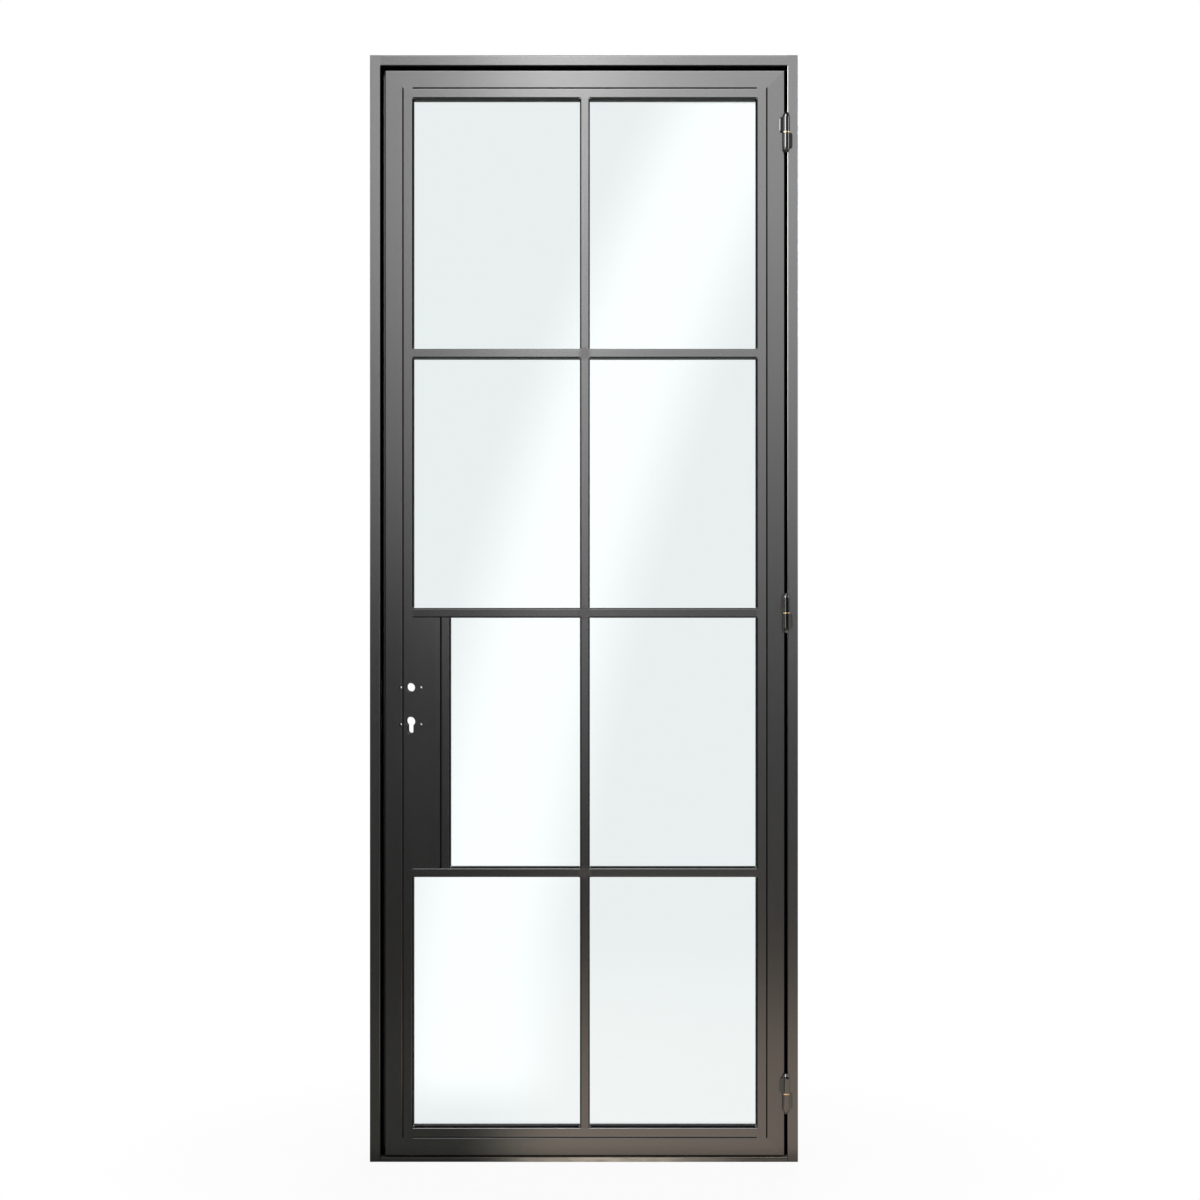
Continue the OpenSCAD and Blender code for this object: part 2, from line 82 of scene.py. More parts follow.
class Tree:
    """A node tree, with short calls for its nodes and links."""

    def __init__(self, tree):
        self.tree = tree

    def add(self, kind, **settings):
        made = self.tree.nodes.new(kind)
        for key, value in settings.items():
            setattr(made, key, value)
        return made

    def link(self, source, target):
        self.tree.links.new(source, target)

    def put(self, target, value):
        """Links a socket to another, or sets its value."""
        if isinstance(value, bpy.types.NodeSocket):
            self.link(value, target)
        else:
            target.default_value = value

    def math(self, operation, first, *others):
        """A number made from one value, or from several taken in turn."""
        for other in others or (0.0,):
            made = self.add("ShaderNodeMath", operation=operation)
            self.put(made.inputs[0], first)
            self.put(made.inputs[1], other)
            first = made.outputs["Value"]
        return first

    def times(self, *values):
        return self.math("MULTIPLY", *values)

    def plus(self, *values):
        return self.math("ADD", *values)

    def minus(self, value, taken):
        return self.math("SUBTRACT", value, taken)

    def largest(self, *values):
        return self.math("MAXIMUM", *values)

    def magnitude(self, value):
        return self.math("ABSOLUTE", value)

    def distance(self, a, b):
        """How far a step of a one way and b across it leads."""
        return self.math("SQRT", self.plus(self.times(a, a), self.times(b, b)))

    def remap(self, value, start, goal=(0.0, 1.0), smooth=False):
        """Carries the range start over to the range goal, and holds at both ends."""
        made = self.add("ShaderNodeMapRange", interpolation_type="SMOOTHSTEP" if smooth else "LINEAR")
        self.put(made.inputs["Value"], value)
        for key, number in zip(("From Min", "From Max", "To Min", "To Max"), (*start, *goal)):
            made.inputs[key].default_value = number
        return made.outputs["Result"]

    def parts(self, vector):
        """A vector's x, y and z."""
        made = self.add("ShaderNodeSeparateXYZ")
        self.link(vector, made.inputs["Vector"])
        return made.outputs["X"], made.outputs["Y"], made.outputs["Z"]


class Shader(Tree):
    """A new material's node tree, with short calls for its surface."""

    def __init__(self, name):
        self.material = bpy.data.materials.new(name)
        self.material.use_nodes = True
        super().__init__(self.material.node_tree)
        self.surface = self.tree.nodes["Principled BSDF"]
        self.output = self.tree.nodes["Material Output"]
        self.coordinates = self.add("ShaderNodeTexCoord").outputs

    def set(self, **values):
        """Sets or links the surface's sockets: base_color is Base Color, and so on."""
        for key, value in values.items():
            self.put(self.surface.inputs[SOCKETS[key]], value)

    def axes(self):
        """The place on the object, as x, y and z."""
        return self.parts(self.coordinates["Object"])

    def normal_axes(self):
        """The way that the surface faces, as x, y and z."""
        return self.parts(self.coordinates["Normal"])

    def noise(self, scale, detail=3.0, stretch=(1, 1, 1), warp=0.0):
        mapping = self.add("ShaderNodeMapping")
        self.link(self.coordinates["Object"], mapping.inputs["Vector"])
        mapping.inputs["Scale"].default_value = stretch
        made = self.add("ShaderNodeTexNoise")
        self.link(mapping.outputs["Vector"], made.inputs["Vector"])
        for key, number in (("Scale", scale), ("Detail", detail), ("Roughness", 0.5), ("Distortion", warp)):
            made.inputs[key].default_value = number
        return made.outputs["Fac"]

    def mix(self, share, a, b):
        made = self.add("ShaderNodeMix", data_type="RGBA")
        self.put(made.inputs["Factor"], share)
        self.put(made.inputs["A"], rgba(a))
        self.put(made.inputs["B"], rgba(b))
        return made.outputs["Result"]

    def sheen(self, edge_up, edge_down, flat):
        """The gloss of painted bars, by the way that a face turns.

        It is 1 on the frame's outside and where a face turns to the front or back past the range flat,
        edge_up and edge_down on edges that turn up or down, faint on undersides and 0 in the reveals.
        """
        _, toward, up = self.normal_axes()
        down = self.times(up, -1.0)
        rising = self.remap(up, TURNING, (0.0, edge_up), smooth=True)
        falling = self.remap(down, TURNING, (0.0, edge_down), smooth=True)
        tilted = self.remap(self.magnitude(up), LEVEL, (1.0, 0.0), smooth=True)
        edges = self.times(self.largest(rising, falling), tilted)
        under = self.remap(down, LEVEL, (0.0, UNDER_SHEEN))
        facing = self.remap(self.magnitude(toward), flat, smooth=True)
        x, _, z = self.axes()
        beside = self.remap(self.magnitude(x), (unit_half - OUTSIDE_FROM, unit_half - OUTSIDE_FULL))
        above = self.remap(z, (unit_top - OUTSIDE_FROM, unit_top - OUTSIDE_FULL))
        return self.largest(edges, under, facing, beside, above)

    def near(self, x0, z0, reach):
        """1 at a place on the door's face, fading to 0 at reach."""
        x, _, z = self.axes()
        away = self.distance(self.minus(x, x0), self.minus(z, z0))
        return self.remap(away, (reach * SPOT_CORE, reach), (1.0, 0.0), smooth=True)

    def glow(self, strength, tint=(1.0, 1.0, 1.0, 1.0), clear=False):
        """Makes the surface a light; a clear one lets what is behind it through as well."""
        lit = self.add("ShaderNodeEmission")
        self.put(lit.inputs["Color"], tint)
        self.put(lit.inputs["Strength"], strength)
        shown = lit.outputs["Emission"]
        if clear:
            both = self.add("ShaderNodeAddShader")
            self.link(self.add("ShaderNodeBsdfTransparent").outputs["BSDF"], both.inputs[0])
            self.link(shown, both.inputs[1])
            shown = both.outputs["Shader"]
        self.link(shown, self.output.inputs["Surface"])

    def bump(self, height, strength, distance):
        made = self.add("ShaderNodeBump")
        made.inputs["Strength"].default_value = strength
        made.inputs["Distance"].default_value = distance
        self.link(height, made.inputs["Height"])
        return made.outputs["Normal"]


# Materials

# Which way the paint's grain is drawn out
UPRIGHT, LYING = (1, 1, 0.12), (0.12, 1, 1)
# Scales of the marks in the paint
CLOUDS, PATCHES, STREAKS, LUMPS, SPECKS, PEEL = 5.0, 9.0, 160.0, 230.0, 420.0, 700.0
PAINT_DARK = (0.013, 0.013, 0.0135)
PAINT_WORN = (0.022, 0.022, 0.022)
PAINT_ROUGH = (0.18, 0.23)
PAINT_IOR, JAMB_IOR = 1.6, 1.66
DUST = (0.20, 0.185, 0.16)
DUST_SHARE = 0.35
LUMP_HEIGHT, LUMP_ROUGH = 3.0, 0.22
CROSSING_REACH = 19 * MM
# Ranges in which a face turns to the front or back and comes to shine
FLAT, WIDE_FLAT, SILL_FLAT = (0.88, 0.995), (0.35, 0.75), (0.96, 0.995)
# Shine of the edges that turn up, and of the bottom rail's edge that turns down
UP_SHEEN, TUBE_SHEEN, FOOT_SHEEN = 0.4, 1.0, 0.8
# A bar's shine at the middle height, and at the reach above and below it
SHINE_MIDDLE, SHINE_REACH = 1.3, 1.1
FULL_SHINE, STILE_SHINE = (1.0, 1.0), (0.75, 0.92)
MUNTIN_SHINE, DULL_SHINE = (0.88, 0.88), (0.80, 0.80)


def satin_paint(name, along=UPRIGHT, edge_up=UP_SHEEN, edge_down=0.0, flat=FLAT, shine=FULL_SHINE,
                ior=PAINT_IOR):
    """Satin black paint: fine orange peel, drawn-out sheen, a few dust specks, dull in the reveals."""
    s = Shader(name)
    cloud = s.noise(CLOUDS, detail=5.0, stretch=along)
    peel = s.noise(PEEL, detail=2.0)
    streak = s.noise(STREAKS, detail=3.0, stretch=along)
    specks = s.remap(s.noise(SPECKS, detail=1.0), (0.70, 0.76))
    patches = s.remap(s.noise(PATCHES, detail=4.0), (0.5, 0.7))
    tone = s.mix(s.remap(cloud, (0.35, 0.65)), PAINT_DARK, PAINT_WORN)
    drawn = s.plus(s.times(streak, 0.3), s.times(cloud, 0.7))
    ground = s.largest(*[s.near(crossing_x, height, CROSSING_REACH) for height in crossing_heights])
    lumps = s.times(ground, s.noise(LUMPS, detail=4.0, warp=1.0))
    relief = s.plus(s.times(streak, 0.35), peel, s.times(lumps, LUMP_HEIGHT))
    _, _, z = s.axes()
    level = s.remap(s.magnitude(s.minus(z, SHINE_MIDDLE)), (0.0, SHINE_REACH), shine)
    s.set(base_color=s.mix(s.times(specks, patches, DUST_SHARE), tone, DUST),
          roughness=s.plus(s.remap(drawn, (0.3, 0.7), PAINT_ROUGH), s.times(lumps, LUMP_ROUGH)),
          ior=ior, specular=s.times(s.sheen(edge_up, edge_down, flat), level),
          normal=s.bump(relief, strength=0.10, distance=0.25 * MM))
    return s.material


# Where the painted reflection of the warm floor on the threshold fades in from its left and out towards its
# right
LIT_BAND_LEFT, LIT_BAND_RIGHT = (-0.25, 0.0), (0.08, 0.40)
# Colour of the threshold's painted light: a tan reflection of the warm floor, also used to lighten its
# shaded top under the leaf
LIT_BAND_TAN = (0.66, 0.58, 0.47)
# Depths behind the front where the painted lightening of the shaded top under the leaf starts to thin and
# where it ends
GAP_LIGHT_DEPTH = (15 * MM, 40 * MM)
# How much of that painted light shows, from the threshold's left to its right
GAP_LIGHT_ACROSS, GAP_LIGHT_SHARE = (-0.32, -0.05), (0.14, 0.70)
SILL_ROUGH = (0.28, 0.55)


def threshold_paint():
    """The threshold's paint with painted light: a tan reflection of the warm floor across its middle, broken
    up by a scuff-like grain, and a lightening of the shaded top along its front under the leaf.
    """
    s = Shader("threshold_paint")
    x, y, _ = s.axes()
    _, _, up = s.normal_axes()
    # Painted reflection: a tan band of the warm floor's light across the threshold's middle, broken up by a
    # scuff-like grain
    lit_band = s.times(s.remap(x, LIT_BAND_LEFT, smooth=True), s.remap(x, LIT_BAND_RIGHT, (1.0, 0.0), smooth=True))
    band_grain = s.remap(s.noise(60.0, detail=6.0, stretch=(0.3, 1, 1)), (0.0, 0.6))
    # Painted light: lightens the threshold's top under the leaf's foot, where the leaf's shade falls
    behind = s.remap(s.minus(y, front_y), GAP_LIGHT_DEPTH, (1.0, 0.0), smooth=True)
    across = s.remap(x, GAP_LIGHT_ACROSS, GAP_LIGHT_SHARE, smooth=True)
    gap_light = s.times(behind, across, s.remap(up, (0.5, 0.9)))
    # Both painted marks together set the threshold's colour and roughness
    painted_light = s.largest(s.times(lit_band, band_grain), gap_light)
    s.set(base_color=s.mix(painted_light, PAINT_DARK, LIT_BAND_TAN), roughness=s.remap(painted_light, (0.0, 1.0), SILL_ROUGH),
          ior=PAINT_IOR, specular=s.sheen(0.0, 0.0, SILL_FLAT),
          normal=s.bump(s.noise(500.0), strength=0.15, distance=0.3 * MM))
    return s.material


BARREL_TURN = (0.60, 0.80)
GLOSS_DARK, GLOSS_SMEAR = (0.004, 0.004, 0.0045), (0.008, 0.008, 0.008)
GLOSS_ROUGH = (0.11, 0.18)
TAIL_HEIGHTS = (0.2, 2.2)
# Painted light on the hinge tails: a warm lit tone near the floor and a dimmer one higher up, both far
# lighter than the black paint
TAIL_LIT_LOW, TAIL_LIT_HIGH = (0.15, 0.14, 0.125), (0.06, 0.06, 0.062)


def gloss_paint():
    """Thick glossy black on the hinge barrels; the tails are dull, with painted light that grows lighter and
    warmer towards the floor.
    """
    s = Shader("gloss_paint")
    _, _, z = s.axes()
    _, toward, _ = s.normal_axes()
    barrel = s.remap(s.magnitude(toward), BARREL_TURN, smooth=True)
    smear = s.noise(40.0, detail=4.0)
    black = s.mix(s.remap(smear, (0.4, 0.7)), GLOSS_DARK, GLOSS_SMEAR)
    # Painted reflection of the floor's warm light on the dull tails, growing towards the floor
    tail = s.mix(s.remap(z, TAIL_HEIGHTS), TAIL_LIT_LOW, TAIL_LIT_HIGH)
    s.set(base_color=s.mix(barrel, tail, black), roughness=s.remap(smear, (0.3, 0.7), GLOSS_ROUGH), ior=1.65,
          specular=s.times(barrel, 0.5), coat=barrel, coat_roughness=0.08,
          normal=s.bump(s.noise(300.0, detail=2.0), strength=0.12, distance=0.3 * MM))
    return s.material


def clear_glass():
    """Float glass with a faint cool tint."""
    s = Shader("clear_glass")
    wave = s.noise(3.0, detail=1.0)
    s.set(base_color=(0.848, 0.90, 0.90, 1.0), roughness=0.0, ior=1.5, transmission=1.0,
          normal=s.bump(wave, strength=0.02, distance=0.5 * MM))
    return s.material


def black_rubber(name, rough):
    """Matt black rubber or sealant with a fine skin."""
    s = Shader(name)
    skin = s.noise(900.0, detail=3.0)
    s.set(base_color=s.mix(skin, (0.008, 0.008, 0.008), (0.018, 0.018, 0.018)),
          roughness=s.remap(skin, (0.3, 0.7), (rough - 0.05, rough + 0.05)),
          normal=s.bump(skin, strength=0.2, distance=0.2 * MM))
    return s.material


def metal(name, bright, dull, rough, turned=(1, 1, 12)):
    """Bare metal with tarnish and fine marks; turned packs the marks closer along an axis."""
    s = Shader(name)
    tarnish = s.remap(s.noise(120.0, detail=4.0), (0.35, 0.7))
    marks = s.noise(900.0, detail=2.0, stretch=turned)
    s.set(base_color=s.mix(tarnish, bright, dull), metallic=1.0,
          roughness=s.remap(marks, (0.3, 0.7), (rough - 0.06, rough + 0.08)),
          normal=s.bump(marks, strength=0.15, distance=0.1 * MM))
    return s.material


paint = satin_paint("satin_paint")
paint_across = satin_paint("satin_paint_across", along=LYING)
OWN_PAINT = {
    "rail_bottom": satin_paint("satin_paint_foot", along=LYING, edge_down=FOOT_SHEEN),
    "glazing_tube_bottom": satin_paint("satin_paint_foot_tube", along=LYING, edge_up=TUBE_SHEEN),
    "stile_hinge_side": satin_paint("satin_paint_hinge_stile", shine=STILE_SHINE),
    "muntin_vertical": satin_paint("satin_paint_muntin", shine=MUNTIN_SHINE),
    "jamb_lock_side": satin_paint("satin_paint_lock_jamb", ior=JAMB_IOR),
    "jamb_hinge_side": satin_paint("satin_paint_hinge_jamb", flat=WIDE_FLAT),
}
dull_muntin = satin_paint("satin_paint_dull_muntin", along=LYING, shine=DULL_SHINE)
edged_muntin = satin_paint("satin_paint_edged_muntin", along=LYING, edge_up=TUBE_SHEEN)
for side in SIDES:
    OWN_PAINT[f"muntin_middle_{side}"] = dull_muntin
    OWN_PAINT[f"muntin_lower_{side}"] = edged_muntin
sill_paint = threshold_paint()
hinge_paint = gloss_paint()
glass = clear_glass()
rubber = black_rubber("black_rubber", rough=0.65)
sealant = black_rubber("black_sealant", rough=0.5)
brass = metal("aged_brass", bright=(0.86, 0.70, 0.45), dull=(0.60, 0.42, 0.22), rough=0.32)
steel = metal("bare_steel", bright=(0.50, 0.50, 0.51), dull=(0.30, 0.29, 0.28), rough=0.34)
bare_weld = metal("bare_weld", bright=(0.80, 0.80, 0.80), dull=(0.62, 0.61, 0.60), rough=0.36,
                  turned=(1, 1, 1))

ACROSS = ("frame_head", "stop_head", "rail_top", "glazing_tube_top", "bead_top", "bead_bottom",
          "bead_lock_box")


def finish_of(name):
    """The material of a CAD node, by its name."""
    if name.startswith("pane_"):
        return glass
    if name.startswith("glazing_tape") or name == "weather_seal":
        return rubber
    if name.startswith("hinge_washer"):
        return brass
    if name.startswith("hinge_pin") or name == "bead_screws":
        return steel
    if name.startswith("hinge_"):
        return hinge_paint
    if name == "threshold":
        return sill_paint
    if name in OWN_PAINT:
        return OWN_PAINT[name]
    level_muntin = name.startswith(("muntin_", "bead_muntin_")) and "vertical" not in name
    return paint_across if level_muntin or name in ACROSS else paint


SOFT_EDGE, SOFT_STEPS, SOFT_DEGREES = 0.5 * MM, 2, 50


def soften(piece):
    """Rounds a piece's sharp edges a little, so that they catch the light."""
    weld = piece.modifiers.new("join", "WELD")
    weld.merge_threshold = 0.001 * MM
    bevel = piece.modifiers.new("edges", "BEVEL")
    bevel.width = SOFT_EDGE
    bevel.segments = SOFT_STEPS
    bevel.limit_method = "ANGLE"
    bevel.angle_limit = math.radians(SOFT_DEGREES)
    bevel.harden_normals = True


for name, piece in nodes.items():
    piece.data.materials.clear()
    piece.data.materials.append(finish_of(name))
    if name.startswith("bead_"):
        soften(piece)


# Pieces that only the looks need


def new_piece(name, build, material, body):
    """A mesh piece made by build(bm), riding on a body."""
    bm = bmesh.new()
    build(bm)
    bmesh.ops.recalc_face_normals(bm, faces=bm.faces)
    mesh = bpy.data.meshes.new(name)
    bm.to_mesh(mesh)
    bm.free()
    mesh.materials.append(material)
    piece = bpy.data.objects.new(name, mesh)
    scene.collection.objects.link(piece)
    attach(piece, body)
    return piece


def sweep(bm, rings, closed):
    """Skins equal rings of points; a closed run joins its ends, and an open one gets end caps."""
    made = [[bm.verts.new(p) for p in ring] for ring in rings]
    size = len(rings[0])
    pairs = list(zip(made, made[1:]))
    if closed:
        pairs.append((made[-1], made[0]))
    else:
        bm.faces.new(made[0])
        bm.faces.new(made[-1])
    for a, b in pairs:
        for i in range(size):
            j = (i + 1) % size
            face = bm.faces.new((a[i], a[j], b[j], b[i]))
            face.smooth = True


# How far an added piece reaches into what it lies on
BITE = 0.4 * MM
SEAL_LEG = 1.2 * MM
# The sealant's run up the bars, 8 mm: a black band at the back of each reveal, partly sealant and partly
# painted shade
SEAL_LIFT = 8.0 * MM
SEAL_WAIST = 0.4
GLASS_COVER = 7 * MM


def sealant_run(bm, low, high, glass_y, out):
    """A concave fillet of sealant between a lite's bars and the glass, whose wide black run up the bars is
    partly painted shade; out is its side of the glass.
    """
    waist = (SEAL_LEG * SEAL_WAIST, SEAL_LIFT * SEAL_WAIST)
    inset = [(-BITE, -BITE), (SEAL_LEG, -BITE), (SEAL_LEG, 0), waist, (0, SEAL_LIFT), (-BITE, SEAL_LIFT)]
    corners = [(low.x, low.z, 1, 1), (high.x, low.z, -1, 1),
               (high.x, high.z, -1, -1), (low.x, high.z, 1, -1)]
    rings = [[Vector((x + sx * across, glass_y + out * lift, z + sz * across)) for across, lift in inset]
             for x, z, sx, sz in corners]
    sweep(bm, rings, closed=True)


def lite_of(row, side):
    """The clear opening of one lite, from the glass and the bars' cover over its edge."""
    low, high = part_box(f"pane_{row}_{side}")
    cover = Vector((GLASS_COVER, 0, GLASS_COVER))
    return low + cover, high - cover


for row in ROWS:
    for side in SIDES:
        low, high = lite_of(row, side)
        new_piece(f"sealant_front_{row}_{side}", lambda bm: sealant_run(bm, low, high, low.y, -1), sealant,
                  "leaf")
        new_piece(f"sealant_back_{row}_{side}", lambda bm: sealant_run(bm, low, high, high.y, 1), sealant,
                  "leaf")


WELD_LEG = 4.0 * MM
WELD_HOLLOW = ((0.55, 0.14), (0.28, 0.28), (0.14, 0.55))
WELD_FROM_FRONT = 1.5 * MM


def corner_weld(bm, x, z, sx, sz, y0, y1):
    """A small concave fillet weld down the corner of two bars, from the leaf's front to the glass."""
    hollow = [(WELD_LEG * across, WELD_LEG * up) for across, up in WELD_HOLLOW]
    profile = [(-BITE, -BITE), (WELD_LEG, -BITE), *hollow, (-BITE, WELD_LEG)]
    rings = [[Vector((x + sx * across, y, z + sz * up)) for across, up in profile] for y in (y0, y1)]
    sweep(bm, rings, closed=False)


def corner_welds(bm, low, high):
    """The welds in the four corners of a lite."""
    for x, sx in ((low.x, 1), (high.x, -1)):
        for z, sz in ((low.z, 1), (high.z, -1)):
            corner_weld(bm, x, z, sx, sz, front_y + WELD_FROM_FRONT, low.y)


for row in ROWS:
    for side in SIDES:
        low, high = lite_of(row, side)
        new_piece(f"corner_welds_{row}_{side}", lambda bm: corner_welds(bm, low, high), paint, "leaf")


BEAD_R = 1.7 * MM
BEAD_RIPPLE = 0.28 * MM
BEAD_STEP = 0.8 * MM
RIPPLE_PITCH = 4.2 * MM
# A bead's end starts at a part of a step and is full after so many steps
TIP_START, TIP_STEPS = 0.35, 2.5
ARC_STEPS = 6
END_INSET = 1.5 * MM
TAIL_TAPER = 10.0 * MM


def hinge_weld(bm, x, out, z0, z1):
    """A rippled weld bead down the end of a hinge's tail, out being the side of x that it lies on."""
    rings = []
    inner = x - out * BITE
    back = front_y + BITE
    arc = [math.radians(90 * k / ARC_STEPS) for k in range(ARC_STEPS + 1)]
    count = round((z1 - z0) / BEAD_STEP)
    for i in range(count + 1):
        z = z0 + (z1 - z0) * i / count
        end = min(1.0, (min(i, count - i) + TIP_START) / TIP_STEPS)
        r = (BEAD_R + BEAD_RIPPLE * abs(math.sin(math.pi * z / RIPPLE_PITCH))) * math.sqrt(end)
        ring = [Vector((x + out * r * math.cos(a), front_y - r * math.sin(a), z)) for a in arc]
        ring += [Vector((inner, front_y - r, z)), Vector((inner, back, z)), Vector((x + out * r, back, z))]
        rings.append(ring)
    sweep(bm, rings, closed=False)


BARE_HINGE = "top"
hinge_welds = []
for place in HINGES:
    low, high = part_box(f"hinge_leaf_half_{place}")
    bare = place == BARE_HINGE
    leaf_weld = new_piece(
        f"hinge_weld_leaf_{place}",
        lambda bm: hinge_weld(bm, low.x, -1, low.z + END_INSET, high.z - TAIL_TAPER - END_INSET),
        bare_weld if bare else hinge_paint, "leaf")
    if not bare:
        hinge_welds.append(leaf_weld)
    low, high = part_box(f"hinge_frame_half_{place}")
    hinge_welds.append(new_piece(
        f"hinge_weld_frame_{place}",
        lambda bm: hinge_weld(bm, high.x, 1, low.z + TAIL_TAPER + END_INSET, high.z - END_INSET),
        hinge_paint, "frame"))


# Light

panes = [nodes[f"pane_{row}_{side}"] for row in ROWS for side in SIDES]
barrels = hinge_welds + [piece for name, piece in nodes.items() if name.startswith("hinge_")]


def link_light(emitter, targets, state):
    """INCLUDE lets an emitter light the targets alone, and EXCLUDE all but the targets."""
    group = bpy.data.collections.new(f"{emitter.name}_targets")
    for target in targets:
        group.objects.link(target)
    for entry in group.collection_objects:
        entry.light_linking.link_state = state
    emitter.light_linking.receiver_collection = group


def softbox(name, place, target, size, power):
    """A soft lamp that lights the metal and stays out of the glass."""
    data = bpy.data.lights.new(name, "AREA")
    data.shape = "RECTANGLE"
    data.size, data.size_y = size
    data.energy = power
    lamp = bpy.data.objects.new(name, data)
    scene.collection.objects.link(lamp)
    lamp.location = place
    lamp.rotation_mode = "QUATERNION"
    lamp.rotation_quaternion = (Vector(target) - lamp.location).to_track_quat("-Z", "Y")
    lamp.visible_camera = False
    link_light(lamp, panes, "EXCLUDE")


softbox("key_high", place=(0.0, -3.2, 5.2), target=(0, 0, 1.4), size=(3.0, 2.0), power=40)
softbox("side_left", place=(-3.2, -1.0, 2.4), target=(0, 0, 1.3), size=(1.0, 2.2), power=28)
softbox("side_right", place=(3.2, -1.0, 2.4), target=(0, 0, 1.3), size=(1.0, 2.2), power=28)
softbox("back_fill", place=(0.8, 4.0, 3.2), target=(0, 0, 1.3), size=(2.0, 2.0), power=110)

FRONT_GLOSS = 0.08
AMBIENT = 0.32
SKY_TURN = (-0.2, 0.4)


def sky():
    """White behind the object and dim in front of it for gloss, with an even level for soft light."""
    world = bpy.data.worlds.new("studio")
    scene.world = world
    world.use_nodes = True
    t = Tree(world.node_tree)
    t.tree.nodes.clear()
    rays = t.add("ShaderNodeLightPath").outputs
    _, y, _ = t.parts(t.add("ShaderNodeTexCoord").outputs["Generated"])
    gloss = t.remap(y, SKY_TURN, (FRONT_GLOSS, 1.0), smooth=True)
    seen = t.largest(rays["Is Camera Ray"], rays["Is Transmission Ray"])
    soft = t.times(t.minus(1.0, rays["Is Glossy Ray"]), AMBIENT)
    level = t.plus(soft, t.times(rays["Is Glossy Ray"], gloss))
    background = t.add("ShaderNodeBackground")
    background.inputs["Color"].default_value = (1, 1, 1, 1)
    t.put(background.inputs["Strength"], t.largest(seen, level))
    t.link(background.outputs["Background"], t.add("ShaderNodeOutputWorld").inputs["Surface"])


sky()


# Floor, and the panels that show in gloss alone

FLOOR_HALF = 7.0
FLOOR_COLOUR = (0.75, 0.74, 0.72, 1)
FLOOR_TURN = (-0.1, 0.4)
# Distances from the door's middle between which the floor's shadow fades, and the white's share there
SHADOW_REACH, WHITE_SHARE = (0.45, 1.3), (0.93, 1.0)


def floor_material():
    """Pale floor that shows white, keeps a light shadow and is dim in the paint's gloss."""
    s = Shader("pale_floor")
    rays = s.add("ShaderNodeLightPath").outputs
    x, y, _ = s.axes()
    s.set(base_color=FLOOR_COLOUR, roughness=0.9, specular=0.0)
    white = s.add("ShaderNodeEmission")
    shows = s.largest(rays["Is Camera Ray"], rays["Is Transmission Ray"])
    gloss = s.remap(y, FLOOR_TURN, (FRONT_GLOSS, 1.0), smooth=True)
    s.put(white.inputs["Strength"], s.largest(shows, gloss))
    own = s.remap(s.distance(x, y), SHADOW_REACH, WHITE_SHARE, smooth=True)
    share = s.largest(s.times(shows, own), rays["Is Glossy Ray"])
    blend = s.add("ShaderNodeMixShader")
    s.link(share, blend.inputs["Fac"])
    s.link(s.surface.outputs["BSDF"], blend.inputs[1])
    s.link(white.outputs["Emission"], blend.inputs[2])
    s.link(blend.outputs["Shader"], s.output.inputs["Surface"])
    return s.material


STREAK_POWER = 4.1
STREAK_HALF, STREAK_CORE = 0.27, 0.15
# The streak's slope, its bow and its shift to the left
STREAK_LEAN, STREAK_BOW, STREAK_SHIFT = 0.045, 0.093, 0.283
STREAK_START = (0.02, 0.16)


def streak_material():
    """A soft leaning strip of light on a clear panel, bowed a little to the left."""
    s = Shader("light_streak")
    x, _, z = s.axes()
    lean = s.plus(s.times(z, STREAK_LEAN), s.times(z, z, STREAK_BOW))
    away = s.magnitude(s.minus(x, s.minus(lean, STREAK_SHIFT)))
    mask = s.remap(away, (STREAK_HALF * STREAK_CORE, STREAK_HALF), (1.0, 0.0), smooth=True)
    s.glow(s.times(mask, s.remap(z, STREAK_START, smooth=True), STREAK_POWER), clear=True)
    return s.material


# The panel's rise: where it starts, how that slopes across, where it ends and how steep it is
RISE_FOOT, RISE_SLOPE, RISE_END, RISE = 0.93, 0.22, 2.9, 1.02
# Its bright column: the edges and their shares, and how it grows upwards
COLUMN_LEFT, COLUMN_RIGHT, COLUMN_FADE = (-0.34, -0.20), (-0.13, 0.16), (0.10, 0.72)
RIGHT_SHARE, FADE_SHARE = 0.90, 0.10
CLIMB_FOOT, CLIMB = 0.25, 1.80
CREST_HEIGHTS, CREST = (2.6, 3.4), 1.3
# The least that it glows, from left to right
BASE_ACROSS, BASE_GLOW = (-0.6, 0.6), (0.08, 0.30)


def panel_material():
    """A graded light panel for the paint's sheen: brighter upwards and down its middle."""
    s = Shader("graded_panel")
    x, _, z = s.axes()
    foot = s.minus(RISE_FOOT, s.times(x, RISE_SLOPE))
    rise = s.times(s.largest(s.minus(s.math("MINIMUM", z, RISE_END), foot), 0.0), RISE)
    left = s.remap(x, COLUMN_LEFT, smooth=True)
    right = s.plus(s.remap(x, COLUMN_RIGHT, (RIGHT_SHARE, 0.0), smooth=True),
                   s.remap(x, COLUMN_FADE, (FADE_SHARE, 0.0)))
    climb = s.times(s.largest(s.minus(z, CLIMB_FOOT), 0.0), CLIMB)
    crest = s.remap(z, CREST_HEIGHTS, (0.0, CREST), smooth=True)
    column = s.times(left, right, s.plus(climb, crest))
    s.glow(s.plus(rise, column, s.remap(x, BASE_ACROSS, BASE_GLOW)))
    return s.material


BARREL_HEIGHTS, BARREL_POWER = (1.2, 3.05), (1.5, 9.0)
BARREL_START = (0.5, 1.1)


def hinge_panel_material():
    """The light that draws the line down the hinge barrels, bright at the top and gone at the foot."""
    s = Shader("hinge_panel")
    _, _, z = s.axes()
    level = s.times(s.remap(z, BARREL_HEIGHTS, BARREL_POWER), s.remap(z, BARREL_START, smooth=True))
    s.glow(level, clear=True)
    return s.material


EDGE_HEIGHTS, EDGE_POWER = (1.2, 2.9), 21.0


